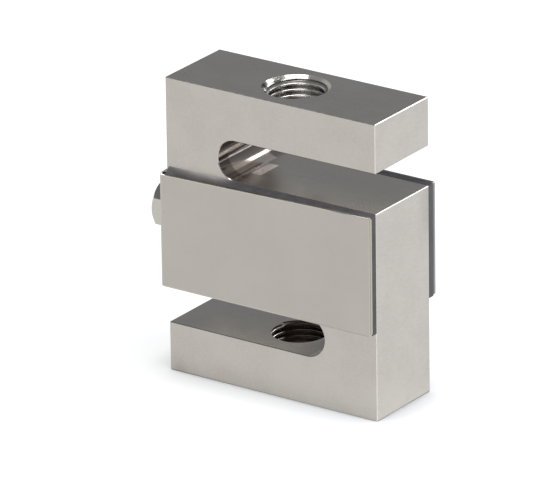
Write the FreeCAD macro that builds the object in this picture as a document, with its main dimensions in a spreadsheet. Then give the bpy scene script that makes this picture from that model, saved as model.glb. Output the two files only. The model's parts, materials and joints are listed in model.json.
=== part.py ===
import FreeCAD, Part
import math
import os
import re
import Sketcher

# S type load cell. Millimetres, +Z up. The origin lies where the load axis meets the bottom face.
# X runs along the two slots, Y through the block, and the cable inlet is on the -X end.

SIZES = {
    # spring body
    "body_width": 50.8,
    "body_depth": 19.05,
    "body_height": 63.5,
    "arm_height": 10.5,
    "slot_height": 8.5,
    "column_width": 12.7,
    "edge_chamfer": 0.15,
    "load_thread": 12.7,
    "load_mouth": 14.0,
    # gauge window: two round holes joined by a lower waist
    "window_radius": 7.5,
    "window_spacing": 19.0,
    "waist_height": 9.0,
    # cable inlet, measured from the left end of the body
    "inlet_rise": 0.3,
    "inlet_tap": 8.0,
    "inlet_depth": 7.0,
    "lead_hole": 6.0,
    "thread_play": 0.05,
    # folded cover
    "cover_sheet": 0.8,
    "cover_bend": 0.6,
    "cover_lap_top": -0.1,
    "cover_lap_bottom": 0.0,
    "cover_drop": 1.25,
    "cover_rear_lift": 0.25,
    "cover_rear_rise": 1.2,
    "cover_corner": 0.6,
    "cover_hole": 8.4,
    # sealant between the cover and the body
    "sealant_gap": 1.4,
    "sealant_inset": 0.6,
    "sealant_recess": 0.05,
    "sealant_rail": 3.95,
    "sealant_post": 6.6,
    "sealant_corner": 2.0,
    # gland screw and what it presses
    "hex_flats": 10.0,
    "hex_reach": 7.25,
    "hex_face": 10.0,
    "hex_angle": 34.3,
    "gland_shank": 7.9,
    "gland_bore": 5.4,
    "gland_mouth": 6.4,
    "sealing_ring": 0.8,
    "sealing_ring_outer": 9.6,
    "sealing_ring_bore": 8.2,
    "thrust_washer": 0.6,
    "thrust_washer_bore": 6.0,
    "cable_seal": 2.6,
    "cable_seal_bore": 5.0,
    "cable_seal_taper": 0.4,
    # strain gauges and their solder tabs, bonded to the walls of the round holes
    "gauge_angle": 46.0,
    "gauge_length": 8.0,
    "gauge_thick": 0.2,
    "tab_start_angle": 28.0,
    "tab_end_angle": 46.0,
    "tab_length": 6.0,
    "tab_thick": 0.3,
    # terminal board on the floor of the waist
    "pad_width": 6.0,
    "pad_length": 14.0,
    "pad_thick": 0.8,
    "board_width": 6.4,
    "board_length": 16.0,
    "board_thick": 1.0,
    "pin_row": 4.4,
    "pin_pitch": 4.0,
    "pin_side": 0.64,
    "pin_play": 0.05,
    "pin_stand": 0.7,
    "pin_collar": 1.1,
    "pin_collar_height": 0.3,
    # trim resistors
    "chip_length": 3.2,
    "chip_width": 1.5,
    "chip_thick": 0.5,
    "cap_length": 0.5,
    "cap_proud": 0.05,
    # gauge wires
    "wire_diameter": 0.4,
    "wire_pitch": 4.0,
    "wire_lift": 1.3,
    "wire_bend": 0.5,
    "wire_height": 3.6,
    "wire_solder": 0.03,
}

doc = FreeCAD.newDocument("s_type_load_cell")
sheet = doc.addObject("Spreadsheet::Sheet", "Sizes")
for row, (word, size) in enumerate(SIZES.items(), 1):
    sheet.set(f"A{row}", word)
    sheet.set(f"B{row}", str(size))
    sheet.setAlias(f"B{row}", word)
doc.recompute()

# Places worked out from the sizes
LEFT = "(-body_width / 2)"
RIGHT = "(body_width / 2)"
SLOT_X = "(body_width / 2 - column_width - slot_height / 2)"
MID_BOTTOM = "(arm_height + slot_height)"
MID_TOP = "(body_height - arm_height - slot_height)"
CENTRE_Z = "(body_height / 2)"
MOUTH_DEPTH = "((load_mouth - load_thread) / 2)"
WAIST_X = "(window_spacing / 2 - sqrt(window_radius^2 - (waist_height / 2)^2))"
INLET_Z = "(body_height / 2 + inlet_rise)"
TAP_END = "(-body_width / 2 + inlet_depth)"
COVER_Y = "(body_depth / 2 + sealant_gap)"
HEAD_X = "(-body_width / 2 - cover_sheet - sealing_ring)"
HEAD_END = "(-body_width / 2 - hex_reach)"
SHANK_END = "(-body_width / 2 + inlet_depth - cable_seal - thrust_washer)"
HEX_RADIUS = "(hex_flats / sqrt(3))"
SHELF_Z = "(body_height / 2 - waist_height / 2)"
BOARD_Z = "(body_height / 2 - waist_height / 2 + pad_thick)"
BOARD_TOP = "(body_height / 2 - waist_height / 2 + pad_thick + board_thick)"
SHEET_TOP = "(body_height - arm_height - slot_height + cover_lap_top)"
REAR_TOP = "(body_height - arm_height - slot_height + cover_lap_top + cover_rear_lift)"
SLOPE = "(cover_drop / body_width)"
REAR_SLOPE = "(cover_rear_rise / (body_width - cover_bend))"

# Places of the pins and resistors along the board, in pitches from its middle
PIN_PLACES = (-1.5, -0.5, 0.5, 1.5)
PIN_COLUMNS = (-0.5, 0.5)

# Two directions are one when the cosine between them is above this
ALIGNED = 0.999
# Two places are one when they are closer than this
TOUCH = 1e-4
# A cutting shape reaches this many times past the corners it cuts
CUT_OVER = 1.2

# Local axes of a sketch: on XY they are X and Y, on XZ they are X and Z (normal -Y), on YZ they are Y and Z.
PLANES = {"XY": "XY_Plane", "XZ": "XZ_Plane", "YZ": "YZ_Plane"}
QUADRANTS = {
    "upper_left": FreeCAD.Rotation(),
    "upper_right": FreeCAD.Rotation(FreeCAD.Vector(0, 0, 1), 180),
    "lower_left": FreeCAD.Rotation(FreeCAD.Vector(1, 0, 0), 180),
    "lower_right": FreeCAD.Rotation(FreeCAD.Vector(0, 1, 0), 180),
}


def bound(words):
    """Writes each size's name in an expression as a reference to its cell."""
    return re.sub(r"[a-z_]+", lambda m: f"Sizes.{m[0]}" if m[0] in SIZES else m[0], words)


def amount(words):
    """The value of an expression now."""
    found = sheet.evalExpression(bound(words))
    return float(getattr(found, "Value", found))


def new_body(label):
    body = doc.addObject("PartDesign::Body", label)
    body.Label = label
    return body


def new_sketch(body, name, plane, **offset):
    """A sketch on one of the body's own planes, moved within it by x and y and along its normal by z."""
    sketch = body.newObject("Sketcher::SketchObject", f"{body.Name}_{name}")
    role = PLANES[plane]
    support = next(f for f in body.Origin.OriginFeatures if f.Role == role)
    sketch.AttachmentSupport = [(support, "")]
    sketch.MapMode = "FlatFace"
    for axis, words in offset.items():
        sketch.setExpression(f"AttachmentOffset.Base.{axis}", bound(words))
    return sketch


def hold(sketch, kind, geometry, point, words):
    """Fixes one coordinate of a sketch point from the sketch's origin."""
    index = sketch.addConstraint(Sketcher.Constraint(kind, -1, 1, geometry, point, amount(words)))
    sketch.setExpression(f"Constraints[{index}]", bound(words))


def outline(sketch, corners, arcs=None):
    """Closes a loop through the corners. arcs maps a corner to (centre x, centre y, held axis, turn)."""
    arcs = arcs or {}
    first = sketch.GeometryCount
    places = [FreeCAD.Vector(amount(x), amount(y), 0) for x, y in corners]
    ends = []
    for i, here in enumerate(places):
        there = places[(i + 1) % len(places)]
        if i not in arcs:
            sketch.addGeometry(Part.LineSegment(here, there))
            ends.append((1, 2))
            continue
        x, y, _, turn = arcs[i]
        centre = FreeCAD.Vector(amount(x), amount(y), 0)
        begin, finish = (here, there) if turn > 0 else (there, here)
        angles = [math.atan2(p.y - centre.y, p.x - centre.x) for p in (begin, finish)]
        circle = Part.Circle(centre, FreeCAD.Vector(0, 0, 1), (here - centre).Length)
        sketch.addGeometry(Part.ArcOfCircle(circle, angles[0], angles[1]))
        ends.append((1, 2) if turn > 0 else (2, 1))
    for i, (x, y) in enumerate(corners):
        after = (i + 1) % len(corners)
        link = Sketcher.Constraint("Coincident", first + i, ends[i][1], first + after, ends[after][0])
        sketch.addConstraint(link)
        hold(sketch, "DistanceX", first + i, ends[i][0], x)
        hold(sketch, "DistanceY", first + i, ends[i][0], y)
    for i, (x, y, axis, _) in arcs.items():
        hold(sketch, f"Distance{axis}", first + i, 3, x if axis == "X" else y)
    return sketch


def circle(sketch, x, y, radius):
    shape = Part.Circle(FreeCAD.Vector(amount(x), amount(y), 0), FreeCAD.Vector(0, 0, 1), amount(radius))
    index = sketch.addGeometry(shape)
    hold(sketch, "DistanceX", index, 3, x)
    hold(sketch, "DistanceY", index, 3, y)
    size = sketch.addConstraint(Sketcher.Constraint("Radius", index, amount(radius)))
    sketch.setExpression(f"Constraints[{size}]", bound(radius))
    return sketch


def box_corners(x0, x1, y0, y1):
    return [(x0, y0), (x1, y0), (x1, y1), (x0, y1)]


def pad(body, profile, length, both=False, back=False):
    feature = body.newObject("PartDesign::Pad", f"{profile.Name}_pad")
    feature.Profile = profile
    feature.Midplane = both
    feature.Reversed = back
    feature.setExpression("Length", bound(length))
    return feature


def cut_through(body, profile, both=True, back=False):
    """Pockets the profile through all of the body, checking that it takes something away."""
    doc.recompute()
    before = body.Shape.Volume
    feature = body.newObject("PartDesign::Pocket", f"{profile.Name}_cut")
    feature.Profile = profile
    feature.Type = 1
    feature.Midplane = both
    feature.Reversed = back
    doc.recompute()
    assert body.Shape.Volume < before, f"{profile.Name} cuts nothing"
    return feature


def turned(body, profile, axis, kind):
    """Revolution adds the turned profile and Groove takes it away."""
    doc.recompute()
    before = body.Shape.Volume if body.Tip else 0.0
    feature = body.newObject(f"PartDesign::{kind}", f"{profile.Name}_turn")
    feature.Profile = profile
    feature.ReferenceAxis = (profile, [axis])
    feature.Angle = 360.0
    doc.recompute()
    change = body.Shape.Volume - before
    assert change > 0 if kind == "Revolution" else change < 0, f"{profile.Name} changes nothing"
    return feature


def edges_where(shape, test):
    return [f"Edge{i}" for i, edge in enumerate(shape.Edges, 1) if test(edge)]


def dress(body, kind, size, test):
    """A Chamfer or Fillet on the edges of the body so far that pass the test."""
    doc.recompute()
    base = body.Tip
    names = edges_where(base.Shape, test)
    assert names, f"{body.Name} has no edge for its {kind}"
    feature = body.newObject(f"PartDesign::{kind}", f"{body.Name}_{kind}{len(body.Group)}")
    feature.Base = (base, names)
    feature.setExpression("Size" if kind == "Chamfer" else "Radius", bound(size))
    return feature


def spans(edge, axis):
    """True for a straight edge along X, Y or Z."""
    if edge.Curve.TypeId != "Part::GeomLine":
        return False
    return abs(getattr(edge.Curve.Direction, axis)) > ALIGNED


# Spring body: one S shaped block with a load thread in each arm and the gauge window in its middle
def make_spring_body():
    body = new_body("spring_body")
    corners = [
        (LEFT, "0"),
        (RIGHT, "0"),
        (RIGHT, MID_TOP),
        (f"-{SLOT_X}", MID_TOP),
        (f"-{SLOT_X}", "body_height - arm_height"),
        (RIGHT, "body_height - arm_height"),
        (RIGHT, "body_height"),
        (LEFT, "body_height"),
        (LEFT, MID_BOTTOM),
        (SLOT_X, MID_BOTTOM),
        (SLOT_X, "arm_height"),
        (LEFT, "arm_height"),
    ]
    arcs = {
        3: (f"-{SLOT_X}", "body_height - arm_height - slot_height / 2", "X", -1),
        9: (SLOT_X, "arm_height + slot_height / 2", "X", -1),
    }
    profile = outline(new_sketch(body, "profile", "XZ"), corners, arcs)
    pad(body, profile, "body_depth", both=True)

    ends = (amount(LEFT), amount(RIGHT))
    faces = (-amount("body_depth / 2"), amount("body_depth / 2"))

    def outer(edge):
        box = edge.BoundBox
        on_face = any(abs(box.YMin - y) < TOUCH and abs(box.YMax - y) < TOUCH for y in faces)
        at_end = any(abs(box.XMin - x) < TOUCH and abs(box.XMax - x) < TOUCH for x in ends)
        return on_face or (at_end and spans(edge, "y"))

    dress(body, "Chamfer", "edge_chamfer", outer)

    window = [
        (f"-{WAIST_X}", f"{CENTRE_Z} - waist_height / 2"),
        (WAIST_X, f"{CENTRE_Z} - waist_height / 2"),
        (WAIST_X, f"{CENTRE_Z} + waist_height / 2"),
        (f"-{WAIST_X}", f"{CENTRE_Z} + waist_height / 2"),
    ]
    holes = {
        1: ("window_spacing / 2", CENTRE_Z, "X", 1),
        3: ("-window_spacing / 2", CENTRE_Z, "X", 1),
    }
    cut_through(body, outline(new_sketch(body, "window", "XZ"), window, holes))

    for name, height in (("lower", "{}"), ("upper", "body_height - {}")):
        thread = [
            ("0", height.format("0")),
            ("load_mouth / 2", height.format("0")),
            ("load_thread / 2", height.format(MOUTH_DEPTH)),
            ("load_thread / 2", height.format("arm_height")),
            ("0", height.format("arm_height")),
        ]
        turned(body, outline(new_sketch(body, f"{name}_thread", "XZ"), thread), "V_Axis", "Groove")

    inlet = [
        (LEFT, "0"),
        (LEFT, "inlet_tap / 2"),
        (TAP_END, "inlet_tap / 2"),
        (TAP_END, "lead_hole / 2"),
        ("-window_spacing / 2", "lead_hole / 2"),
        ("-window_spacing / 2", "0"),
    ]
    turned(body, outline(new_sketch(body, "inlet", "XZ", y=INLET_Z), inlet), "H_Axis", "Groove")
    return body


# Cover: one sheet folded round the left end. The top edge of its front panel drops towards the fold and rises
# again over the left end, and the bottom edge of its rear panel rises towards the free end.
def make_cover():
    body = new_body("cover_sleeve")
    bottom = f"({MID_BOTTOM} - cover_lap_bottom)"
    fold_x = f"({LEFT} - cover_sheet)"
    side = box_corners(fold_x, RIGHT, bottom, REAR_TOP)
    profile = outline(new_sketch(body, "side", "XZ"), side)
    pad(body, profile, f"2 * ({COVER_Y} + cover_sheet)", both=True)

    right = amount(RIGHT)
    fold = amount(fold_x)
    dress(body, "Fillet", "cover_bend + cover_sheet",
          lambda e: spans(e, "z") and e.BoundBox.XMax < fold + TOUCH)

    mouth = f"({RIGHT} + cover_sheet)"
    bend_x = f"({LEFT} + cover_bend)"
    bend_y = f"({COVER_Y} - cover_bend)"
    inside = [
        (bend_x, f"-{COVER_Y}"),
        (mouth, f"-{COVER_Y}"),
        (mouth, COVER_Y),
        (bend_x, COVER_Y),
        (LEFT, bend_y),
        (LEFT, f"-{bend_y}"),
    ]
    bends = {3: (bend_x, bend_y, "X", 1), 5: (bend_x, f"-{bend_y}", "X", 1)}
    cut_through(body, outline(new_sketch(body, "inside", "XY"), inside, bends))

    low, clear = f"({SHEET_TOP} - cover_drop)", f"({REAR_TOP} + cover_drop)"
    outside = f"({fold_x} - cover_sheet)"
    front = [
        (outside, low),
        (LEFT, low),
        (mouth, f"{low} + {SLOPE} * ({mouth} - {LEFT})"),
        (mouth, clear),
        (outside, clear),
    ]
    end = [
        ("-body_depth / 2", low),
        ("body_depth / 2", REAR_TOP),
        ("body_depth / 2", clear),
        ("-body_depth / 2", clear),
    ]
    rear = [(bend_x, bottom), (mouth, bottom), (mouth, f"{bottom} + {REAR_SLOPE} * ({mouth} - {bend_x})")]
    cut_through(body, outline(new_sketch(body, "front_edge", "XZ", z="body_depth / 2"), front),
                both=False, back=True)
    cut_through(body, outline(new_sketch(body, "end_edge", "YZ", z=LEFT), end), both=False)
    cut_through(body, outline(new_sketch(body, "rear_edge", "XZ", z="-body_depth / 2"), rear), both=False)
    corners = [v for v in body.Shape.Vertexes if v.X > right - TOUCH]
    assert min(v.Z for v in corners if v.Y < 0) < amount(bottom) + TOUCH, "the front panel's foot was cut"
    assert max(v.Z for v in corners if v.Y > 0) > amount(REAR_TOP) - TOUCH, "the rear panel's top was cut"
    dress(body, "Fillet", "cover_corner", lambda e: spans(e, "y") and e.BoundBox.XMin > right - TOUCH)
    hole = circle(new_sketch(body, "inlet", "YZ", y=INLET_Z), "0", "0", "cover_hole / 2")
    cut_through(body, hole, both=False)
    return body


# Sealant: a frame round the window that ends where the sheet's edges do
def make_sealant(label, side):
    body = new_body(label)
    start = f"({LEFT} + sealant_inset)"
    bottom = f"({MID_BOTTOM} + sealant_recess)"
    top = f"({MID_TOP} - sealant_recess)"
    if side > 0:
        sheet_right = f"({SHEET_TOP} - sealant_recess)"
        sheet_left = f"({sheet_right} - cover_drop + {SLOPE} * sealant_inset)"
        right_bottom = bottom
    else:
        sheet_right = sheet_left = f"({REAR_TOP} - sealant_recess)"
        right_bottom = f"({bottom} + cover_rear_rise)"
    face = new_sketch(body, "body_side", "XZ", z=f"{side} * body_depth / 2")
    outline(face, [(start, bottom), (RIGHT, right_bottom), (RIGHT, top), (start, top)])
    sheet_side = new_sketch(body, "sheet_side", "XZ", z=f"{side} * {COVER_Y}")
    outline(sheet_side, [(start, bottom), (RIGHT, right_bottom), (RIGHT, sheet_right), (start, sheet_left)])
    loft = body.newObject("PartDesign::AdditiveLoft", f"{label}_loft")
    loft.Profile = face
    loft.Sections = [sheet_side]
    loft.Ruled = True
    left, right = f"({start} + sealant_post)", f"({RIGHT} - sealant_post)"
    low, high = f"({bottom} + sealant_rail)", f"({top} - sealant_rail)"
    cut_through(body, outline(new_sketch(body, "opening", "XZ"), box_corners(left, right, low, high)))
    inner = amount(left) - TOUCH, amount(right) + TOUCH
    dress(body, "Fillet", "sealant_corner",
          lambda e: spans(e, "y") and inner[0] < e.BoundBox.XMin < inner[1])
    return body


# Gland screw: hexagon outside, threaded shank inside the body, bored for the cable
def make_gland_screw():
    body = new_body("gland_screw")
    hexagon = []
    for k in range(6):
        angle = f"((hex_angle + {60 * k}) * 1 deg)"
        hexagon.append((f"{HEX_RADIUS} * cos({angle})", f"{HEX_RADIUS} * sin({angle})"))
    head = outline(new_sketch(body, "head", "YZ", y=INLET_Z, z=HEAD_X), hexagon)
    pad(body, head, f"{HEAD_X} - {HEAD_END}", back=True)

    clear = f"({HEX_RADIUS} * {CUT_OVER})"
    chamfer = [
        (HEAD_END, "hex_face / 2"),
        (HEAD_END, clear),
        (f"{HEAD_END} + {clear} - hex_face / 2", clear),
    ]
    turned(body, outline(new_sketch(body, "chamfer", "XZ", y=INLET_Z), chamfer), "H_Axis", "Groove")
    shank = box_corners(HEAD_X, SHANK_END, "0", "gland_shank / 2")
    turned(body, outline(new_sketch(body, "shank", "XZ", y=INLET_Z), shank), "H_Axis", "Revolution")
    bore = [
        (HEAD_END, "0"),
        (HEAD_END, "gland_mouth / 2"),
        (f"{HEAD_END} + (gland_mouth - gland_bore) / 2", "gland_bore / 2"),
        (SHANK_END, "gland_bore / 2"),
        (SHANK_END, "0"),
    ]
    turned(body, outline(new_sketch(body, "bore", "XZ", y=INLET_Z), bore), "H_Axis", "Groove")
    return body


# Rings on the inlet's axis, given as corners of their half section (place along X, radius)
def make_ring(label, section):
    body = new_body(label)
    turned(body, outline(new_sketch(body, "section", "XZ", y=INLET_Z), section), "H_Axis", "Revolution")
    return body


def make_inlet_rings():
    make_ring("sealing_ring", box_corners(
        HEAD_X, f"({HEAD_X} + sealing_ring)", "sealing_ring_bore / 2", "sealing_ring_outer / 2"))
    outer = "(inlet_tap / 2 - thread_play)"
    make_ring("thrust_washer", box_corners(
        SHANK_END, f"({SHANK_END} + thrust_washer)", "thrust_washer_bore / 2", outer))
    make_ring("cable_seal", [
        (f"{TAP_END} - cable_seal", "cable_seal_bore / 2 + cable_seal_taper"),
        (f"{TAP_END} - cable_seal + cable_seal_taper", "cable_seal_bore / 2"),
        (TAP_END, "cable_seal_bore / 2"),
        (TAP_END, outer),
        (f"{TAP_END} - cable_seal", outer),
    ])


# Gauges and tabs follow the round wall. They are drawn for the upper left hole and turned into the others.
def make_wall_piece(label, quadrant, start, end, thick, length):
    body = new_body(label)
    corners = []
    for radius, turn in (("window_radius", start), ("window_radius", end),
                         (f"(window_radius - {thick})", end), (f"(window_radius - {thick})", start)):
        angle = f"({turn} * 1 deg)"
        corners.append((f"{radius} * sin({angle}) - window_spacing / 2", f"{radius} * cos({angle})"))
    arcs = {0: ("-window_spacing / 2", "0", "Y", -1), 2: ("-window_spacing / 2", "0", "Y", 1)}
    pad(body, outline(new_sketch(body, "section", "XZ"), corners, arcs), length, both=True)
    body.Placement = FreeCAD.Placement(FreeCAD.Vector(0, 0, amount(CENTRE_Z)), QUADRANTS[quadrant])
    body.setExpression("Placement.Base.z", bound(CENTRE_Z))
    return body


# Terminal board with its foam pad, pins and trim resistors, on the floor of the waist
def make_board():
    foam = new_body("board_pad")
    area = box_corners("-pad_width / 2", "pad_width / 2", "-pad_length / 2", "pad_length / 2")
    pad(foam, outline(new_sketch(foam, "area", "XY", z=SHELF_Z), area), "pad_thick")

    board = new_body("terminal_board")
    area = box_corners("-board_width / 2", "board_width / 2", "-board_length / 2", "board_length / 2")
    pad(board, outline(new_sketch(board, "area", "XY", z=BOARD_Z), area), "board_thick")
    holes = new_sketch(board, "holes", "XY", z=BOARD_Z)
    for x in PIN_COLUMNS:
        for y in PIN_PLACES:
            circle(holes, f"{x} * pin_row", f"{y} * pin_pitch", "pin_side / sqrt(2) + pin_play")
    cut_through(board, holes, both=True)

    pins = new_body("board_pins")
    shapes = []
    for name, side, low, length in (("post", "pin_side", BOARD_Z, "board_thick + pin_stand"),
                                    ("collar", "pin_collar", BOARD_TOP, "pin_collar_height")):
        square = box_corners(f"-{side} / 2", f"{side} / 2", f"-{side} / 2", f"{side} / 2")
        shapes.append(pad(pins, outline(new_sketch(pins, name, "XY", z=low), square), length))
    doc.recompute()
    rows = pins.newObject("PartDesign::MultiTransform", "pin_rows")
    steps = []
    length = f"{PIN_PLACES[-1] - PIN_PLACES[0]} * pin_pitch"
    for name, axis, count, span in (("across", "X_Axis", len(PIN_COLUMNS), "pin_row"),
                                    ("along", "Y_Axis", len(PIN_PLACES), length)):
        step = pins.newObject("PartDesign::LinearPattern", f"pins_{name}")
        direction = next(f for f in pins.Origin.OriginFeatures if f.Role == axis)
        step.Direction = (direction, [""])
        step.Occurrences = count
        step.setExpression("Length", bound(span))
        steps.append(step)
    rows.Originals = shapes
    rows.Transformations = steps
    pins.Tip = rows
    pins.setExpression("Placement.Base.x", bound(f"{PIN_COLUMNS[0]} * pin_row"))
    pins.setExpression("Placement.Base.y", bound(f"{PIN_PLACES[0]} * pin_pitch"))


def make_resistor(label, place):
    body = new_body(label)
    half = "(chip_length / 2 - cap_length)"
    core = box_corners("-chip_width / 2", "chip_width / 2", f"-{half}", half)
    core_sketch = new_sketch(body, "core", "XY", z="cap_proud")
    pad(body, outline(core_sketch, core), "chip_thick")
    wide = "(chip_width / 2 + cap_proud)"
    for name, near, far in (("front", "-chip_length / 2", f"-{half}"), ("rear", half, "chip_length / 2")):
        cap = outline(new_sketch(body, f"{name}_cap", "XY"), box_corners(f"-{wide}", wide, near, far))
        pad(body, cap, "chip_thick + 2 * cap_proud")
    body.setExpression("Placement.Base.y", bound(f"{place} * pin_pitch"))
    body.setExpression("Placement.Base.z", bound(BOARD_TOP))
    return body


def rounded_path(points, radius):
    """Straight runs through the points with a tangent arc at each turn."""
    edges = []
    start = points[0]
    for before, here, after in zip(points, points[1:], points[2:]):
        back = (before - here).normalize()
        on = (after - here).normalize()
        half = back.getAngle(on) / 2
        reach = radius / math.tan(half)
        first = here + back * reach
        last = here + on * reach
        middle = here + (back + on).normalize() * (radius / math.sin(half) - radius)
        edges.append(Part.LineSegment(start, first).toShape())
        edges.append(Part.Arc(first, middle, last).toShape())
        start = last
    edges.append(Part.LineSegment(start, points[-1]).toShape())
    return Part.Wire(edges)


def tube(points, diameter, radius):
    """A wire of six flats along the rounded path."""
    along = (points[1] - points[0]).normalize()
    across = along.cross(FreeCAD.Vector(0, 1, 0)).normalize()
    up = along.cross(across)
    corners = []
    for k in range(7):
        angle = math.radians(60 * k)
        corners.append(points[0] + (across * math.cos(angle) + up * math.sin(angle)) * (diameter / 2))
    return rounded_path(points, radius).makePipeShell([Part.makePolygon(corners)], True, False)


# Two wires from each gauge's tab over to the board's pins
def make_wires(label, upper, side):
    wire = {word: amount(word) for word in SIZES if word.startswith("wire_")}
    angle = math.radians(amount("(tab_start_angle + tab_end_angle) / 2"))
    wall = amount("window_radius - tab_thick")
    hole_x = amount("window_spacing / 2")
    row_x = amount("pin_row / 2")
    pin_top = amount(f"{BOARD_TOP} + pin_stand")
    bend_z = pin_top + wire["wire_height"]
    lean = 1 if upper else -1
    tubes = []
    for end in (-1, 1):
        tab_y = end * wire["wire_pitch"] / 2
        pin_y = end * amount("pin_pitch") * (PIN_PLACES[2] if upper else PIN_PLACES[3])

        def on_tab(inward):
            reach = wall - inward
            x = hole_x - reach * math.sin(angle)
            z = amount(CENTRE_Z) + lean * reach * math.cos(angle)
            return FreeCAD.Vector(side * x, tab_y, z)

        points = [
            on_tab(wire["wire_solder"]),
            on_tab(wire["wire_lift"]),
            FreeCAD.Vector(side * row_x, pin_y, bend_z),
            FreeCAD.Vector(side * row_x, pin_y, pin_top + wire["wire_solder"]),
        ]
        tubes.append(tube(points, wire["wire_diameter"], wire["wire_bend"]))
    node = doc.addObject("Part::Feature", label)
    node.Label = label
    node.Shape = Part.makeCompound(tubes)
    node.Placement = FreeCAD.Placement()
    return node


make_spring_body()
make_cover()
make_sealant("front_sealant", 1)
make_sealant("rear_sealant", -1)
make_gland_screw()
make_inlet_rings()
for quadrant in QUADRANTS:
    make_wall_piece(f"gauge_{quadrant}", quadrant, "(-gauge_angle / 2)", "(gauge_angle / 2)",
                    "gauge_thick", "gauge_length")
    make_wall_piece(f"tab_{quadrant}", quadrant, "tab_start_angle", "tab_end_angle",
                    "tab_thick", "tab_length")
    make_wires(f"wires_{quadrant}", quadrant.startswith("upper"), -1 if quadrant.endswith("left") else 1)
make_board()
resistors = ("zero_resistor", "span_resistor_front", "span_resistor_rear", "output_resistor")
for place, label in zip(PIN_PLACES, resistors):
    make_resistor(label, place)
doc.recompute()

failed = [o.Label for o in doc.Objects if {"Invalid", "Error"} & set(o.State)]
nodes = [o for o in doc.Objects if o.TypeId == "PartDesign::Body" or o.TypeId == "Part::Feature"]
failed += [n.Label for n in nodes if n.Shape.isNull() or not n.Shape.isValid()]
if failed:
    raise SystemExit(f"failed: {failed}")

os.makedirs("parts", exist_ok=True)
for node in nodes:
    node.Shape.exportStep(f"parts/{node.Label}.step")
    print(f"{node.Label}: {len(node.Shape.Solids)} solids, {node.Shape.Volume:.3f} mm3")
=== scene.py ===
import json
import math
import bmesh
import bpy
from mathutils import Matrix, Vector


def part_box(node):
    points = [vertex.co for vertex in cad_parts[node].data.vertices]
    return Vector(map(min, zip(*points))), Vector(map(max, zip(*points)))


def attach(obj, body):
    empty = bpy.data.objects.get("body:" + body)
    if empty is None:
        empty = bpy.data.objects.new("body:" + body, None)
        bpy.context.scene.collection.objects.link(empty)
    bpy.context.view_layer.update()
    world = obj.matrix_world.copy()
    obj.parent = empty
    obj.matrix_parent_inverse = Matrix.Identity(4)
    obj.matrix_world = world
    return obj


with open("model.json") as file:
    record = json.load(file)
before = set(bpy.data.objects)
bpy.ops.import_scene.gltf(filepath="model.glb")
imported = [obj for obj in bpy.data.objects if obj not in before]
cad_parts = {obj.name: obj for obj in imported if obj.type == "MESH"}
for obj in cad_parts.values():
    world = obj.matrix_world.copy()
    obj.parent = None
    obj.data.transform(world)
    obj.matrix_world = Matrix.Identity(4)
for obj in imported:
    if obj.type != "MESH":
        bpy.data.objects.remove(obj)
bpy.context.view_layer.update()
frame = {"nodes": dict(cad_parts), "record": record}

# The block in millimetres of the row frame. +X is the end away from the inlet, +Y the rear, +Z up.
MM = 0.001
BODY_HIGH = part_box("spring_body")[1]
HALF_WIDTH, HALF_DEPTH = BODY_HIGH.x / MM, BODY_HIGH.y / MM
HEIGHT = 63.5
MID_HEIGHT = HEIGHT / 2
ARM = 10.5
SLOT_FLOOR = 44.5
SLOT_RADIUS = 4.25
SLOT_AXIS_X = 8.45      # from the load axis to the axis of a slot's round end
SLOT_AXIS_Z = 17.0      # from mid height to the same
BORE_REACH = 6.42       # a little more than the load holes' radius
CONE_REACH = 7.06       # a little more than the countersinks' radius

# The cover: the box between the bends' axes, open to the right and up, then the bends' inner and
# outer radius and the front panel's edges
BEND_LOW = (-24.8, -10.325, 0.0)
BEND_HIGH = (100.0, 10.325, 100.0)
BEND_RADII = (0.6, 1.4)
SHEET_BOTTOM = 19.0
SHEET_TOP_MIDDLE = 43.775
SHEET_SLOPE = 0.0246

# Camera: placed by fitting the block's edges in a 560 x 500 picture
CAMERA_AT = (0.84217, -1.212085, 0.61413)
CAMERA_RIGHT = (0.82263, 0.56844, -0.01272)
CAMERA_UP = (-0.19999, 0.31020, 0.92940)
CAMERA_BACK = (0.53225, -0.76200, 0.36886)
CAMERA_LENS = 506.70
CAMERA_CLIP = (0.05, 100.0)
SENSOR_WIDTH = 36.0


def make_camera():
    data = bpy.data.cameras.new("camera")
    data.lens = CAMERA_LENS
    data.sensor_width = SENSOR_WIDTH
    data.sensor_fit = "HORIZONTAL"
    data.clip_start, data.clip_end = CAMERA_CLIP
    camera = bpy.data.objects.new("camera", data)
    turn = Matrix((CAMERA_RIGHT, CAMERA_UP, CAMERA_BACK)).transposed().to_4x4()
    camera.matrix_world = Matrix.Translation(CAMERA_AT) @ turn
    bpy.context.scene.collection.objects.link(camera)
    bpy.context.scene.camera = camera


make_camera()
bpy.context.scene.view_settings.view_transform = "Standard"


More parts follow.
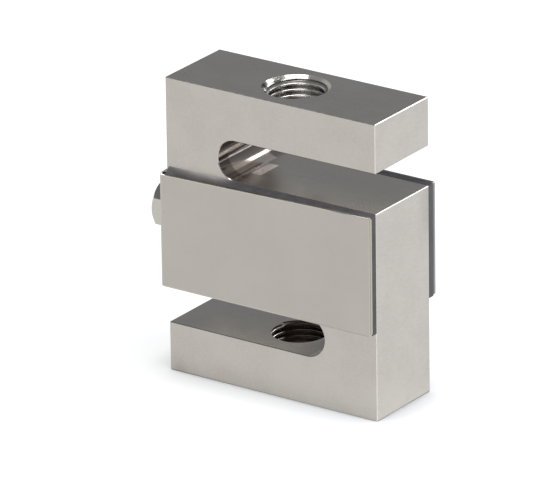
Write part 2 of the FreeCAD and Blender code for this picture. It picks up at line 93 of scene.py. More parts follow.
# Materials
class Graph:
    """The nodes of a material or world, with positions in millimetres of the row frame."""

    def __init__(self, owner):
        self.owner = owner
        owner.use_nodes = True
        self.tree = owner.node_tree
        self.tree.nodes.clear()
        self.millimetres = None

    def add(self, kind, inputs=None, **settings):
        """A new node. Each input is given by its name or place, as a value or another's output."""
        node = self.tree.nodes.new(kind)
        for name, value in settings.items():
            setattr(node, name, value)
        for key, value in (inputs or {}).items():
            if isinstance(value, bpy.types.NodeSocket):
                self.tree.links.new(value, node.inputs[key])
            else:
                node.inputs[key].default_value = value
        return node

    def place(self, scale=(1, 1, 1)):
        """The position, with each axis scaled for a texture that is stretched along another."""
        if self.millimetres is None:
            coords = self.add("ShaderNodeTexCoord")
            self.millimetres = self.scaled(coords.outputs["Object"], 1 / MM)
        inputs = {"Vector": self.millimetres, "Scale": scale}
        return self.add("ShaderNodeMapping", inputs).outputs[0]

    def axis(self, vector, name):
        return self.add("ShaderNodeSeparateXYZ", {0: vector}).outputs[name]

    def axes(self, names="XYZ"):
        """Parts of the position."""
        return [self.axis(self.place(), name) for name in names]

    def noise(self, vector, scale, detail, rough):
        inputs = {"Vector": vector, "Scale": scale, "Detail": detail, "Roughness": rough}
        return self.add("ShaderNodeTexNoise", inputs).outputs["Fac"]

    def math(self, operation, *values):
        inputs = dict(enumerate(values))
        return self.add("ShaderNodeMath", inputs, operation=operation).outputs[0]

    def chain(self, operation, first, *others):
        for value in others:
            first = self.math(operation, first, value)
        return first

    def times(self, *values):
        return self.chain("MULTIPLY", *values)

    def most(self, *values):
        return self.chain("MAXIMUM", *values)

    def plus(self, value, share, base):
        """The base and a share of the value."""
        return self.math("MULTIPLY_ADD", value, share, base)

    def absolute(self, value):
        return self.math("ABSOLUTE", value)

    def opposite(self, mask):
        return self.math("SUBTRACT", 1.0, mask)

    def below(self, value, limit):
        return self.math("LESS_THAN", value, limit)

    def above(self, value, limit):
        return self.math("GREATER_THAN", value, limit)

    def length(self, *parts):
        """The length of a vector with these parts."""
        squares = [self.math("POWER", self.absolute(part), 2.0) for part in parts]
        return self.math("POWER", self.math("ADD", *squares), 0.5)

    def span(self, value, low, high, to_low=0.0, to_high=1.0, smooth=True):
        """to_low where the value is low, to_high where it is high, and between them between."""
        inputs = {"Value": value, "From Min": low, "From Max": high,
                  "To Min": to_low, "To Max": to_high}
        kind = "SMOOTHSTEP" if smooth else "LINEAR"
        return self.add("ShaderNodeMapRange", inputs, interpolation_type=kind).outputs[0]

    def spread(self, noise, to_low=0.0, to_high=1.0):
        """A noise's usual range, from 0.3 to 0.7, as a range of levels."""
        return self.span(noise, 0.3, 0.7, to_low, to_high)

    def swing(self, noise):
        """A noise about 0."""
        return self.math("SUBTRACT", noise, 0.5)

    def ramp(self, value, stops, tint=(1.0, 1.0, 1.0)):
        """Levels of a tint at places from 0 to 1."""
        node = self.add("ShaderNodeValToRGB", {0: value})
        elements = node.color_ramp.elements
        while len(elements) < len(stops):
            elements.new(1.0)
        for element, (place, level) in zip(elements, stops):
            element.position = place
            element.color = opaque(shade(tint, level))
        return node.outputs[0]

    def vector(self, operation, *values):
        node = self.add("ShaderNodeVectorMath", dict(enumerate(values)), operation=operation)
        return node.outputs["Value" if operation in ("LENGTH", "DOT_PRODUCT") else "Vector"]

    def scaled(self, vector, amount):
        inputs = {0: vector, "Scale": amount}
        return self.add("ShaderNodeVectorMath", inputs, operation="SCALE").outputs[0]

    def mix(self, share, first, second):
        """One colour where the share is 0, the other where it is 1."""
        inputs = {0: share, 6: opaque(first), 7: opaque(second)}
        return self.add("ShaderNodeMix", inputs, data_type="RGBA").outputs[2]

    def blend(self, share, first, second):
        """One number where the share is 0, the other where it is 1."""
        inputs = {0: share, 2: first, 3: second}
        return self.add("ShaderNodeMix", inputs, data_type="FLOAT").outputs[0]

    def bump(self, height, depth, below=None):
        """Depth is the height in millimetres of a full step of the input."""
        inputs = {"Strength": 1.0, "Distance": depth * MM, "Height": height}
        if below is not None:
            inputs["Normal"] = below
        return self.add("ShaderNodeBump", inputs).outputs[0]

    def facing(self, axis):
        """1 where the face looks along the axis, 0 elsewhere."""
        geometry = self.add("ShaderNodeNewGeometry")
        return self.span(self.absolute(self.axis(geometry.outputs["Normal"], axis)), 0.8, 0.95)

    def finish(self, color, rough, metallic, normal):
        inputs = {"Base Color": color, "Roughness": rough, "Metallic": metallic, "Normal": normal}
        shader = self.add("ShaderNodeBsdfPrincipled", inputs)
        self.add("ShaderNodeOutputMaterial", {"Surface": shader.outputs[0]})
        return self.owner


def opaque(color):
    """A constant colour with its alpha. A node's output stays as it is."""
    return (*color, 1.0) if isinstance(color, tuple) else color


def shade(color, level):
    return tuple(channel * level for channel in color)


def new_material(name):
    return Graph(bpy.data.materials.new(name))


NICKEL = (0.490, 0.463, 0.426)
EDGE_WEAR_AND_HIGHLIGHT = (0.660, 0.635, 0.600)
BORE_SHADE_NICKEL = (0.300, 0.262, 0.235)
SHADE_BLACK = (0.030, 0.020, 0.016)
SLOT_REFLECTION_LIGHT = (1.0, 0.905, 0.845)
CONE_SHADE_BLACK = (0.03, 0.027, 0.025)
DARKENING = (0.05, 0.05, 0.05)
GLINT = (1.0, 0.97, 0.93)

# Painted reflections and shade: grey levels round a slot's end from its roof to its floor,
# and round the left half of a countersink from the front to the rear
SLOT_REFLECTION_BANDS = (
    (0.0, 0.08), (0.30, 0.18), (0.34, 0.85), (0.39, 0.8), (0.425, 0.15), (0.482, 0.12),
    (0.490, 0.55), (0.497, 0.55), (0.508, 0.16), (0.58, 0.27), (0.66, 0.36), (0.70, 0.5),
    (0.74, 0.5), (0.79, 0.85), (0.93, 0.85), (1.0, 0.55),
)
CONE_REFLECTION_BANDS = (
    (0.38, 0.02), (0.47, 0.08), (0.50, 0.7), (0.625, 1.0), (0.65, 0.12), (0.69, 0.07),
    (0.712, 0.5), (0.92, 0.5), (0.96, 1.0),
)

# Spots on the upper slot's floor and the lower arm's top: x and y, height and softness, then
# for all but the rubbed spot with its painted highlight the share and colour: a lighter spot,
# a dark brown spot where the floor meets the slot's end, and painted shade near the lower slot's
# end
RUBBED_HIGHLIGHT_PATCH = ((-8.5, -6.2), (-4.0, 2.5), SLOT_FLOOR, 0.25)
RUBBED_HIGHLIGHT_COLOR = (1.0, 0.89, 0.84)
FLOOR_PATCHES = (
    (((-6.4, -4.2), (-9.0, -4.4), SLOT_FLOOR, 0.9), 0.8, shade(NICKEL, 1.3)),
    (((-11.0, -7.9), (-7.8, -4.6), SLOT_FLOOR, 0.8), 0.35, (0.14, 0.10, 0.085)),
    (((5.5, 30.0), (-30.0, 30.0), ARM, 4.5), 0.8, shade(NICKEL, 0.6)),
)


def from_load_axis(g):
    return g.length(*g.axes("XY"))


def from_slot_axis(g):
    """How far a point lies inwards of the axis of a slot's round end, and towards mid height."""
    x, z = g.axes("XZ")
    inward = g.math("SUBTRACT", g.absolute(x), SLOT_AXIS_X)
    off_middle = g.absolute(g.math("SUBTRACT", z, MID_HEIGHT))
    return inward, g.math("SUBTRACT", SLOT_AXIS_Z, off_middle)


def slot_end_mask(g):
    """1 on a slot's round end, fading out where it runs into the slot's floor and roof."""
    x, y, z = g.axes()
    inward, towards_middle = from_slot_axis(g)
    on_arc = g.math("COMPARE", g.length(inward, towards_middle), SLOT_RADIUS, 0.05)
    closed_side = g.below(g.times(x, g.math("SUBTRACT", z, MID_HEIGHT)), 0.0)
    off_edges = g.below(g.absolute(y), HALF_DEPTH - 0.16)
    return g.times(on_arc, g.span(inward, 0.0, 1.1), closed_side, off_edges)


def turned(g, rise, run, low, high, wobble):
    """0 to 1 as the angle goes from low to high, in degrees, with wavy limits."""
    angle = g.math("ARCTAN2", rise, run)
    share = g.span(angle, math.radians(low), math.radians(high), smooth=False)
    return g.plus(wobble, 0.05, share)


def slot_end_reflections(g, wobble):
    """Painted reflections and shade in bands along a slot's round end, darker near the front and
    rear.
    """
    inward, towards_middle = from_slot_axis(g)
    place = turned(g, towards_middle, inward, -60, 90, wobble)
    off_middle = g.absolute(g.plus(wobble, 0.5, g.axis(g.place(), "Y")))
    near_face = g.times(g.span(off_middle, 5.6, 6.3), g.span(place, 0.40, 0.43))
    return g.times(g.ramp(place, SLOT_REFLECTION_BANDS), g.plus(near_face, -0.55, 1.0))


def countersink_reflections(g, wobble):
    """Painted reflections and shade round the countersink, broken by chatter marks on its left
    side.
    """
    x, y = g.axes("XY")
    return g.ramp(turned(g, y, g.times(x, -1.0), -90, 90, wobble), CONE_REFLECTION_BANDS)


def level_mask(g, across, along, level, soft):
    """1 in a soft edged rectangle of x and y on the level faces of one height."""
    x, y, z = g.axes()
    sides = [side for value, (low, high) in ((x, across), (y, along))
             for side in (g.span(value, low - soft, low + soft),
                          g.span(value, high + soft, high - soft))]
    return g.times(g.math("COMPARE", z, level, 0.05), g.facing("Z"), *sides)


def make_nickel():
    """Satin plating: mottled in front, brushed sideways on the ends, edges lighter with wear and
    painted highlight, painted shade and reflections in the holes and the slot's end.
    """
    g = new_material("nickel_steel")
    x, y, z = g.axes()
    end, front, top = (g.facing(axis) for axis in "XYZ")
    flat = g.most(end, front, top)
    curved = g.opposite(flat)
    from_axis = from_load_axis(g)
    outside = g.above(from_axis, CONE_REACH)
    bore = g.times(g.below(from_axis, BORE_REACH), curved)
    cone = g.times(g.math("SUBTRACT", g.opposite(outside), bore), curved)
    edge = g.times(g.above(g.absolute(x), HALF_WIDTH - 0.2), curved)
    top_edge = g.times(curved, outside, g.above(z, HEIGHT - 0.2))
    foot_edge = g.times(g.opposite(top), outside, g.below(z, 0.15))
    slot_end = slot_end_mask(g)
    upper_end = g.times(slot_end, g.above(z, MID_HEIGHT))

    clouds = g.noise(g.place(), 0.12, 3.0, 0.55)
    grain = g.noise(g.place(), 4.5, 2.0, 0.6)
    mottling = g.noise(g.place((2.6, 2.6, 2.1)), 1.0, 3.0, 0.7)
    strokes_across = g.noise(g.place((3.6, 0.7, 3.6)), 1.0, 3.0, 0.65)
    strokes_along = g.noise(g.place((0.08, 3.5, 3.5)), 1.0, 3.0, 0.6)
    strokes = g.blend(front, g.blend(end, strokes_along, strokes_across), mottling)

    tone = g.plus(g.swing(grain), 0.25, g.plus(g.swing(strokes), 0.9, clouds))
    color = g.mix(g.spread(tone), shade(NICKEL, 0.955), shade(NICKEL, 1.045))
    # Darker on the right face beside the rear cover, and painted shade at the foot of the front
    # face's left part
    darker_by_rear_cover = g.times(end, g.span(y, 4.5, 9.5), g.span(z, 30.0, 39.0), g.below(z, 46.0))
    painted_foot_shade = g.times(front, g.below(y, 0.0), g.span(x, -20.5, -23.0),
                           g.span(x, -25.4, -23.4, 0.4, 1.0), g.span(z, 5.0, 0.0))
    color = g.mix(g.times(g.most(darker_by_rear_cover, painted_foot_shade), 0.17), color, DARKENING)
    # Painted shade in the load holes' bores
    color = g.mix(bore, color, BORE_SHADE_NICKEL)
    # Painted reflections and shade on the upper slot's round end
    wobble = g.swing(g.noise(g.place((1, 0.25, 1)), 1.1, 3.0, 0.65))
    painted_slot_reflections = g.mix(slot_end_reflections(g, wobble), SHADE_BLACK, SLOT_REFLECTION_LIGHT)
    color = g.mix(upper_end, color, painted_slot_reflections)
    # Painted reflections and shade on the countersink
    speckle = g.swing(g.noise(g.place((1, 1, 0.3)), 2.6, 2.0, 0.6))
    painted_cone_reflections = g.mix(countersink_reflections(g, speckle), CONE_SHADE_BLACK, shade(NICKEL, 2.0))
    color = g.mix(cone, color, painted_cone_reflections)
    # Painted highlight on a rubbed spot of the upper slot's floor, less metallic there
    rubbed_highlight = g.times(g.span(g.noise(g.place(), 1.3, 3.0, 0.65), 0.26, 0.46),
                    level_mask(g, *RUBBED_HIGHLIGHT_PATCH))
    color = g.mix(rubbed_highlight, color, RUBBED_HIGHLIGHT_COLOR)
    # A lighter spot, a dark brown spot, and painted shade on the lower slot's floor
    for where, share, paint in FLOOR_PATCHES:
        color = g.mix(g.times(level_mask(g, *where), share), color, paint)
    # Lighter edges: partly wear, partly painted highlight
    wear_and_highlight = g.span(g.noise(g.place(), 0.7, 3.0, 0.6), 0.25, 0.5, 0.55, 1.0)
    color = g.mix(g.times(edge, wear_and_highlight), color, EDGE_WEAR_AND_HIGHLIGHT)
    # Painted highlight along the top edges, broken into spots
    highlight_breaks = g.span(g.noise(g.place((0.9, 0.2, 0.2)), 1.0, 3.0, 0.7), 0.42, 0.60)
    color = g.mix(top_edge, color, g.mix(highlight_breaks, shade(NICKEL, 1.4), GLINT))
    # Painted highlight along the bottom edges
    color = g.mix(foot_edge, color, EDGE_WEAR_AND_HIGHLIGHT)

    satin = g.spread(g.math("ADD", g.times(clouds, 0.5), g.times(grain, 0.5)), 0.26, 0.34)
    bright = g.spread(strokes_along, 0.10, 0.17)
    rough = g.blend(flat, g.blend(edge, bright, 0.24), satin)
    rough = g.blend(slot_end, rough, g.blend(upper_end, satin, bright))
    rough = g.blend(g.times(cone, g.span(x, 1.0, 3.5)), rough, 0.42)

    relief = g.bump(grain, 0.0012, g.bump(strokes, 0.0022))
    chatter = g.noise(g.place((1, 1, 0.3)), 1.9, 3.0, 0.7)
    rubbed = g.span(x, -2.5, -5.0, 0.1, 1.0)
    relief = g.bump(g.times(chatter, cone, rubbed), 0.05, relief)
    outward = g.vector("MULTIPLY", g.place(), (1 / HALF_WIDTH, 1 / HALF_DEPTH, 0.0))
    lean = g.scaled(g.vector("NORMALIZE", outward), g.times(foot_edge, 1.6))
    normal = g.vector("NORMALIZE", g.vector("ADD", relief, lean))
    return g.finish(color, rough, g.plus(rubbed_highlight, -0.7, 1.0), normal)


def make_thread_metal():
    """Painted shade and highlight: dark roots, near white crests, and a dark lower hole with
    painted glints on its left.
    """
    g = new_material("thread_steel")
    x, z = g.axes("XZ")
    stain = g.noise(g.place(), 0.8, 3.0, 0.6)
    radius = g.plus(g.swing(stain), 0.06, from_load_axis(g))
    # Painted shade in the roots, darker towards the right, and painted highlight on the near white
    # crests
    root = g.mix(g.span(x, 0.5, 4.0), (0.48, 0.465, 0.455), (0.26, 0.225, 0.21))
    color = g.mix(g.span(radius, 6.1, 5.75), root, (0.95, 0.935, 0.92))
    # Painted shade where the ridge runs out into the countersink on the left
    ridge_mouth_shade = g.times(g.span(radius, 6.30, 6.38), g.span(x, -3.0, -5.0))
    color = g.mix(ridge_mouth_shade, color, (0.07, 0.065, 0.06))
    # Painted shade in the lower hole, with painted glints on its crests at the left
    at_left = g.span(x, -5.1, -5.45)
    crest = g.mix(at_left, (0.24, 0.195, 0.175), GLINT)
    crest_reach = g.span(radius, g.plus(at_left, 0.2, 6.0), 5.72)
    lower_hole_shade = g.mix(crest_reach, (0.20, 0.155, 0.135), crest)
    color = g.mix(g.below(z, MID_HEIGHT), color, lower_hole_shade)
    cut_off = g.facing("Z")
    color = g.mix(cut_off, color, NICKEL)
    grain = g.noise(g.place((1, 1, 4)), 1.2, 2.0, 0.6)
    rough = g.blend(cut_off, g.spread(grain, 0.15, 0.21), 0.30)
    return g.finish(color, rough, 1.0, g.bump(grain, 0.001))


def make_cover_steel():
    """Matt sheet, its edges sheared olive brown, rounded outwards and smeared at the rear, with
    painted highlights and painted shade on the edges.
    """
    g = new_material("cover_steel")
    x, y, z = g.axes()
    clouds = g.noise(g.place(), 0.08, 3.0, 0.5)
    grain = g.noise(g.place(), 3.2, 3.0, 0.65)
    strokes = g.noise(g.place((0.12, 2.6, 2.6)), 1.0, 3.0, 0.6)
    tears = g.noise(g.place((2.0, 2.0, 0.4)), 1.2, 2.0, 0.6)

    # Where a point lies on the sheet. across goes from -1 inside to 1 outside.
    at_end = g.above(x, HALF_WIDTH - 0.02)
    sheared = g.most(at_end, g.facing("Z"))
    in_face = g.opposite(sheared)
    nearest = g.vector("MINIMUM", g.vector("MAXIMUM", g.place(), BEND_LOW), BEND_HIGH)
    off_bend = g.vector("MULTIPLY", g.vector("SUBTRACT", g.place(), nearest), (1, 1, 0))
    outward = g.vector("NORMALIZE", off_bend)
    across = g.span(g.vector("LENGTH", off_bend), *BEND_RADII, -1.0, 1.0, smooth=False)
    outer_half = g.span(across, -0.35, 0.1)
    on_front = g.below(y, -11.0)
    below_top = g.math("SUBTRACT", g.plus(x, SHEET_SLOPE, SHEET_TOP_MIDDLE), z)
    near_top = g.times(g.span(below_top, 0.24, 0.04), on_front, in_face)
    near_end = g.times(g.span(x, 25.12, 25.38), on_front, in_face)
    near_foot = g.times(g.span(z, SHEET_BOTTOM + 0.26, SHEET_BOTTOM + 0.06), on_front)
    at_fold = g.span(g.plus(tears, 0.5, x), -24.0, -24.6)
    on_end_panel = g.times(at_fold, g.span(y, -10.2, -9.6))
    at_corner = g.times(at_fold, g.span(y, -10.2, -10.8))
    smeared = g.above(y, 10.5)

    # The sheared edges: top and bottom edge, right end, fold, left end panel and rear panel, with
    # painted highlight on their outer half and painted shade on the fold's inner half
    cut = g.mix(g.spread(tears), (0.33, 0.29, 0.235), (0.43, 0.385, 0.32))
    # rim: painted highlight on the outer half of the edges
    rim = g.mix(g.span(tears, 0.35, 0.65), (0.38, 0.33, 0.255), (0.62, 0.57, 0.47))
    end_face = g.mix(g.span(across, 0.1, 0.7), (0.52, 0.49, 0.40), (0.30, 0.265, 0.215))
    cut = g.mix(at_end, g.mix(outer_half, cut, rim), g.mix(0.25, end_face, cut))
    # Painted shade on the fold's inner half, painted highlight on its outer half and the left end
    # panel's edge
    cut = g.mix(at_fold, cut, g.mix(outer_half, SHADE_BLACK, (0.80, 0.77, 0.75)))
    cut = g.mix(on_end_panel, cut, (0.52, 0.50, 0.485))
    smeared_end = g.mix(outer_half, (0.19, 0.185, 0.195), (0.38, 0.37, 0.38))
    cut = g.mix(smeared, cut, g.mix(at_end, (0.26, 0.25, 0.26), smeared_end))

    # The faces, with painted highlight where they turn over to the top edge and right end, and
    # along the bottom edge on the left
    tone = g.plus(g.swing(grain), 0.25, clouds)
    sheet = g.mix(g.spread(tone), (0.480, 0.453, 0.417), (0.500, 0.473, 0.434))
    # Bottom edge: painted highlight on the left, darker brown to the right
    foot = g.mix(g.span(x, 4.0, 11.0), (0.56, 0.535, 0.50), (0.40, 0.36, 0.31))
    sheet = g.mix(near_foot, sheet, foot)
    sheet = g.mix(g.most(near_top, near_end), sheet, (0.60, 0.575, 0.54))

    # The normal leans outwards on the edges, and up and to the right near them
    relief = g.bump(strokes, 0.0010, g.bump(grain, 0.0018))
    front_or_fold = g.most(g.below(y, -9.0), at_fold)
    top_edge = g.times(g.facing("Z"), g.most(outer_half, on_end_panel), front_or_fold,
                       g.opposite(smeared))
    top_edge = g.times(top_edge, g.blend(at_corner, g.blend(at_fold, 0.24, 0.50), 0.75))
    towards_end = g.times(near_top, g.span(x, 12.0, 25.4, 0.0, 0.8))
    lean = g.scaled(outward, g.times(across, sheared, 0.3))
    for direction, amount in (((0.53, -0.69, 0.0), top_edge), ((0.0, 0.0, 1.45), towards_end),
                              ((0.77, 0.0, 0.0), g.most(towards_end, near_end))):
        lean = g.vector("ADD", lean, g.scaled(direction, amount))
    normal = g.vector("NORMALIZE", g.vector("ADD", relief, lean))
    return g.finish(g.mix(sheared, sheet, cut), g.spread(grain, 0.38, 0.46), 1.0, normal)


# Grey levels of the sealant's smear from the block's face out to the sheet
SMEAR_LEVELS = ((0.05, 0.46), (0.30, 0.31), (0.52, 0.185), (0.75, 0.14), (1.0, 0.095))
SEALANT_GAP = 1.4


def make_sealant():
    """Dark grey, and on the top left only a thin smear where it runs out on the block."""
    g = new_material("grey_sealant")
    x, y, z = g.axes()
    clouds = g.noise(g.place(), 0.35, 3.0, 0.5)
    grain = g.noise(g.place(), 5.0, 2.0, 0.6)
    solid = g.mix(g.spread(clouds), (0.088, 0.086, 0.091), (0.116, 0.113, 0.120))
    off_face = g.math("SUBTRACT", g.absolute(y), HALF_DEPTH)
    far_left = g.span(x, -17.5, -24.5)
    wavy = g.plus(far_left, 0.45, g.plus(g.swing(clouds), 0.5, off_face))
    smear = g.ramp(g.span(wavy, 0.0, SEALANT_GAP, smooth=False), SMEAR_LEVELS)
    smear = g.vector("MAXIMUM", smear, g.scaled((0.15, 0.15, 0.16), far_left))
    smear = g.vector("MULTIPLY", smear, (1.0, 0.965, 0.93))
    color = g.mix(g.times(g.span(x, -8.0, -14.0), g.span(z, 42.9, 43.1)), solid, smear)
    rear_end = g.times(g.facing("X"), g.above(y, 0.0))
    color = g.scaled(color, g.blend(rear_end, 1.0, 1.35))
    swell = g.noise(g.place((0.35, 1, 1)), 0.7, 1.0, 0.4)
    normal = g.bump(grain, 0.006, g.bump(swell, 0.12))
    return g.finish(color, g.spread(clouds, 0.42, 0.58), 0.0, normal)


def make_turned_metal(name, tint, rough):
    """Bright metal with fine rings round the X axis."""
    g = new_material(name)
    rings = g.noise(g.place((6.0, 0.25, 0.25)), 1.0, 2.0, 0.5)
    grain = g.noise(g.place(), 5.0, 2.0, 0.6)
    color = g.mix(g.spread(grain), shade(tint, 0.95), shade(tint, 1.03))
    normal = g.bump(grain, 0.001, g.bump(rings, 0.002))
    return g.finish(color, g.spread(rings, *rough), 1.0, normal)


def make_grained(name, grain, dark, light, rough, metallic, depth):
    """One fine grain in colour, gloss and relief. The grain is its scale, detail and roughness."""
    g = new_material(name)
    grain = g.noise(g.place(), *grain)
    color = g.mix(grain, dark, light)
    return g.finish(color, g.spread(grain, *rough), metallic, g.bump(grain, depth))


def make_gauge_film():
    """Amber film over the lines of a foil grid."""
    g = new_material("gauge_film")
    y = g.axis(g.place(), "Y")
    grid = g.add("ShaderNodeTexWave", {"Vector": g.place(), "Scale": 0.8},
                 wave_type="BANDS", bands_direction="Y", wave_profile="SIN")
    foil = g.span(grid.outputs["Fac"], 0.45, 0.55)
    inside = g.below(g.absolute(y), 2.8)
    tint = g.noise(g.place(), 0.8, 2.0, 0.5)
    film = g.mix(tint, (0.52, 0.27, 0.05), (0.62, 0.36, 0.09))
    color = g.mix(g.times(foil, inside), film, (0.58, 0.50, 0.36))
    return g.finish(color, g.spread(tint, 0.22, 0.34), 0.0, g.bump(foil, 0.006))


def make_tab_copper():
    """Copper with blotches of tin."""
    g = new_material("tab_copper")
    blotch = g.noise(g.place(), 0.9, 3.0, 0.6)
    grain = g.noise(g.place(), 6.0, 2.0, 0.6)
    color = g.mix(g.span(blotch, 0.45, 0.6), (0.70, 0.38, 0.20), (0.68, 0.66, 0.62))
    return g.finish(color, g.spread(grain, 0.25, 0.42), 1.0, g.bump(blotch, 0.03))


def make_board_foam():
    g = new_material("board_foam")
    cells = g.add("ShaderNodeTexVoronoi", {"Vector": g.place(), "Scale": 6.0})
    depth = cells.outputs["Distance"]
    color = g.mix(depth, (0.36, 0.36, 0.34), (0.55, 0.55, 0.52))
    return g.finish(color, 0.82, 0.0, g.bump(depth, 0.04))


def make_board_laminate():
    """Green solder resist over a weave, with a track every 4 mm."""
    g = new_material("board_laminate")
    y = g.axis(g.place(), "Y")
    weave = g.noise(g.place((1, 1, 0.2)), 3.0, 2.0, 0.5)
    track = g.below(g.absolute(g.math("PINGPONG", y, 2.0)), 0.35)
    green = g.mix(weave, (0.012, 0.10, 0.035), (0.02, 0.15, 0.055))
    color = g.mix(track, green, (0.05, 0.24, 0.08))
    normal = g.bump(track, 0.03, g.bump(weave, 0.01))
    return g.finish(color, g.spread(weave, 0.28, 0.38), 0.0, normal)


def make_resistor_ceramic():
    """Black glaze with tinned ends. Each resistor has 4 mm of the Y axis to itself."""
    g = new_material("resistor_ceramic")
    y = g.axis(g.place(), "Y")
    from_seam = g.math("MODULO", g.math("ADD", y, 8.0), 4.0)
    cap = g.above(g.absolute(g.math("SUBTRACT", from_seam, 2.0)), 1.1)
    grain = g.noise(g.place(), 7.0, 2.0, 0.6)
    glaze = g.mix(grain, (0.02, 0.02, 0.022), (0.035, 0.035, 0.038))
    color = g.mix(cap, glaze, (0.55, 0.55, 0.53))
    return g.finish(color, g.spread(grain, 0.24, 0.36), 0.0, g.bump(grain, 0.004))


MATERIALS = {
    "nickel_steel": make_nickel(),
    "thread_steel": make_thread_metal(),
    "cover_steel": make_cover_steel(),
    "grey_sealant": make_sealant(),
    "gland_nickel": make_turned_metal("gland_nickel", (0.50, 0.48, 0.44), (0.18, 0.28)),
    "washer_steel": make_turned_metal("washer_steel", (0.5, 0.5, 0.49), (0.25, 0.4)),
    "seal_rubber": make_grained("seal_rubber", (8.0, 3.0, 0.6), (0.020, 0.020, 0.021),
                                (0.034, 0.034, 0.035), (0.55, 0.72), 0.0, 0.01),
    "wire_insulation": make_grained("wire_insulation", (2.5, 2.0, 0.5), (0.42, 0.055, 0.035),
                                    (0.56, 0.085, 0.05), (0.28, 0.4), 0.0, 0.004),
    "pin_tin": make_grained("pin_tin", (3.0, 3.0, 0.6), (0.58, 0.58, 0.57),
                            (0.72, 0.72, 0.70), (0.22, 0.38), 1.0, 0.01),
    "gauge_film": make_gauge_film(),
    "tab_copper": make_tab_copper(),
    "board_foam": make_board_foam(),
    "board_laminate": make_board_laminate(),
    "resistor_ceramic": make_resistor_ceramic(),
}
for part in frame["record"]["subparts"]:
    node = frame["nodes"][part["node"]]
    material = MATERIALS[part["material_slot"]]
    if not node.material_slots:
        node.data.materials.append(material)
    for holder in node.material_slots:
        holder.material = material


# Screw threads of the two load holes: 1/2 inch, 20 turns an inch
THREAD_WALL = 6.35
THREAD_CREST = 5.70
THREAD_PITCH = 1.27
THREAD_BACK = 0.05      # how far the ridge goes into the wall
FLANK_ANGLE = math.radians(30)
CREST_FLAT = THREAD_PITCH / 8
CREST_ROUNDING = 0.18
CREST_STEPS = 4
MOUTH_RADIUS = 7.0
MOUTH_PLAY = 0.04
END_PLAY = 0.005
TURN_STEPS = 64
SHARP_ANGLE = math.radians(30)
SAME_POINT = 1e-7


def ridge_profile():
    """(along the axis, radius) from root over crest to root, then back behind the wall."""
    flank = (THREAD_WALL - THREAD_CREST) * math.tan(FLANK_ANGLE)
    turn = math.pi / 2 - FLANK_ANGLE
    centre = -CREST_FLAT + CREST_ROUNDING * math.tan(turn / 2)
    half = [(-CREST_FLAT - flank, THREAD_WALL),
            (-CREST_FLAT - flank / 2, (THREAD_WALL + THREAD_CREST) / 2)]
    for i in range(CREST_STEPS + 1):
        angle = math.pi / 2 + turn * (1 - i / CREST_STEPS)
        half.append((centre + CREST_ROUNDING * math.cos(angle),
                     THREAD_CREST + CREST_ROUNDING - CREST_ROUNDING * math.sin(angle)))
    back = THREAD_WALL + THREAD_BACK
    profile = half + [(-along, radius) for along, radius in reversed(half)]
    return profile + [(-half[0][0], back), (half[0][0], back)]


def make_thread(name, mouth_z, inward, start):
    """A helical ridge from the countersink to the slot. inward is +1 or -1 along Z."""
    profile = ridge_profile()
    reach_along = profile[-2][0]
    first, last = MOUTH_RADIUS - THREAD_WALL, ARM - END_PLAY
    turns = (last - first + 2 * reach_along) / THREAD_PITCH
    mesh = bmesh.new()
    rows = []
    for step in range(1, int(turns * TURN_STEPS)):
        angle = start + 2 * math.pi * step / TURN_STEPS
        middle = first - reach_along + THREAD_PITCH * step / TURN_STEPS
        row = []
        for along, radius in profile:
            depth = min(max(middle + along, first), last)
            reach = max(radius, MOUTH_RADIUS + MOUTH_PLAY - depth)
            row.append(mesh.verts.new((reach * math.cos(angle) * MM,
                                       -inward * reach * math.sin(angle) * MM,
                                       (mouth_z + inward * depth) * MM)))
        rows.append(row)
    for a, b in zip(rows, rows[1:]):
        for i in range(len(a)):
            j = (i + 1) % len(a)
            mesh.faces.new((a[i], a[j], b[j], b[i]))
    mesh.faces.new(rows[0])
    mesh.faces.new(list(reversed(rows[-1])))
    bmesh.ops.remove_doubles(mesh, verts=mesh.verts, dist=SAME_POINT)
    bmesh.ops.dissolve_degenerate(mesh, dist=SAME_POINT, edges=mesh.edges)
    bmesh.ops.recalc_face_normals(mesh, faces=mesh.faces)
    for edge in mesh.edges:
        edge.smooth = edge.is_manifold and edge.calc_face_angle(0.0) < SHARP_ANGLE
    data = bpy.data.meshes.new(name)
    mesh.to_mesh(data)
    mesh.free()
    for face in data.polygons:
        face.use_smooth = True
    ridge = bpy.data.objects.new(name, data)
    bpy.context.scene.collection.objects.link(ridge)
    data.materials.append(MATERIALS["thread_steel"])
    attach(ridge, "root")


make_thread("upper_thread_ridge", HEIGHT, -1, math.radians(60))
make_thread("lower_thread_ridge", 0.0, 1, 0.0)


# Studio, in metres
FLOOR_HALF = 12.0
FLOOR_PAINT = (0.50, 0.50, 0.50)
FLOOR_GLOW = 0.675
GLOW_PLAIN = (1.0, 1.0, 1.0)
GLOW_LIT = (1.135, 1.155, 1.18)
LIT_SIDE = (0.57, 0.82, 0.0)
CONTACT_REACH = 0.010
CONTACT_SAMPLES = 16
BLOCK_END = (0.0253, 0.0256)
SKY_LEVELS = ((0.0, 0.345), (0.42, 0.345), (0.62, 0.235), (1.0, 0.204))
SKY_TINT = (0.975, 1.0, 1.035)
LAMP_DISTANCE = 2.2
LAMP_AIM = (0, 0, 0.03)


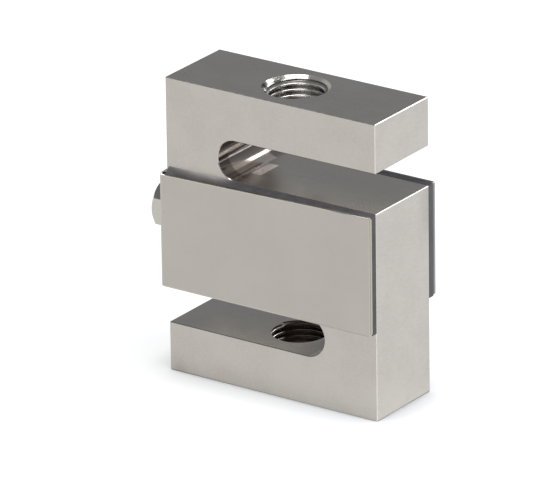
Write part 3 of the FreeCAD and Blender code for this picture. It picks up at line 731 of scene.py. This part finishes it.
def make_floor():
    """A white floor whose glow fades towards the part as a painted contact shadow, for the camera
    and in reflections.
    """
    mesh = bpy.data.meshes.new("floor")
    corners = [(x * FLOOR_HALF, y * FLOOR_HALF, 0) for x, y in ((-1, -1), (1, -1), (1, 1), (-1, 1))]
    mesh.from_pydata(corners, [], [(0, 1, 2, 3)])
    floor = bpy.data.objects.new("floor", mesh)
    bpy.context.scene.collection.objects.link(floor)

    g = new_material("floor")
    rays = g.add("ShaderNodeLightPath").outputs
    mirrored = g.most(rays["Is Glossy Ray"], rays["Is Transmission Ray"])
    shown = g.most(rays["Is Camera Ray"], mirrored)
    position = g.add("ShaderNodeNewGeometry").outputs["Position"]
    lit = g.span(g.vector("DOT_PRODUCT", position, LIT_SIDE), -0.04, 0.02)
    beside = g.span(g.axis(position, "X"), *BLOCK_END)
    near = g.add("ShaderNodeAmbientOcclusion", {"Distance": CONTACT_REACH}, samples=CONTACT_SAMPLES)
    openness = near.outputs["AO"]
    # Painted contact shadow in the glow the camera sees
    seen = g.times(g.span(openness, 0.46, 0.53),
                   g.span(openness, 0.5, 0.95, g.blend(beside, 0.60, 0.48), 1.0, smooth=False))
    # In reflections the glow is painted much darker inside holes, darker near the part, and
    # brighter near it to the right of the block
    reflected = g.times(g.span(openness, 0.40, 0.48, 0.12, 1.0),
                        g.span(openness, 0.5, 1.0, g.blend(beside, 0.72, 1.15), 1.0, smooth=False))
    strength = g.times(shown, FLOOR_GLOW, g.blend(mirrored, seen, reflected))
    glow = g.add("ShaderNodeEmission", {"Color": g.mix(lit, GLOW_PLAIN, GLOW_LIT),
                                        "Strength": strength})
    paint = g.add("ShaderNodeBsdfDiffuse", {"Color": opaque(FLOOR_PAINT)})
    both = g.add("ShaderNodeAddShader", {0: paint.outputs[0], 1: glow.outputs[0]})
    g.add("ShaderNodeOutputMaterial", {"Surface": both.outputs[0]})
    mesh.materials.append(g.owner)


def make_world():
    """A grey sky, darker towards its top."""
    world = bpy.data.worlds.new("studio")
    bpy.context.scene.world = world
    g = Graph(world)
    up = g.axis(g.add("ShaderNodeTexCoord").outputs["Generated"], "Z")
    sky = g.add("ShaderNodeBackground", {"Color": g.ramp(up, SKY_LEVELS, SKY_TINT)})
    g.add("ShaderNodeOutputWorld", {"Surface": sky.outputs[0]})


def make_lamp(name, towards, along, length, width, radiance):
    """A softbox seen from the part in one direction, its long side along another."""
    data = bpy.data.lights.new(name, "AREA")
    data.shape = "RECTANGLE"
    data.size = length
    data.size_y = width
    data.energy = radiance * math.pi * length * width
    back = Vector(towards).normalized()
    side = (Vector(along) - Vector(along).dot(back) * back).normalized()
    turn = Matrix((side, back.cross(side), back)).transposed().to_4x4()
    lamp = bpy.data.objects.new(name, data)
    lamp.matrix_world = Matrix.Translation(back * LAMP_DISTANCE + Vector(LAMP_AIM)) @ turn
    bpy.context.scene.collection.objects.link(lamp)


make_floor()
make_world()
make_lamp("key", (0.18, -0.17, 0.97), (0.77, 0.635, 0.0), 2.35, 0.95, 4.4)
make_lamp("rim", (0.30, 0.76, 0.57), (-0.34, 0.65, -0.68), 1.1, 0.46, 3.5)
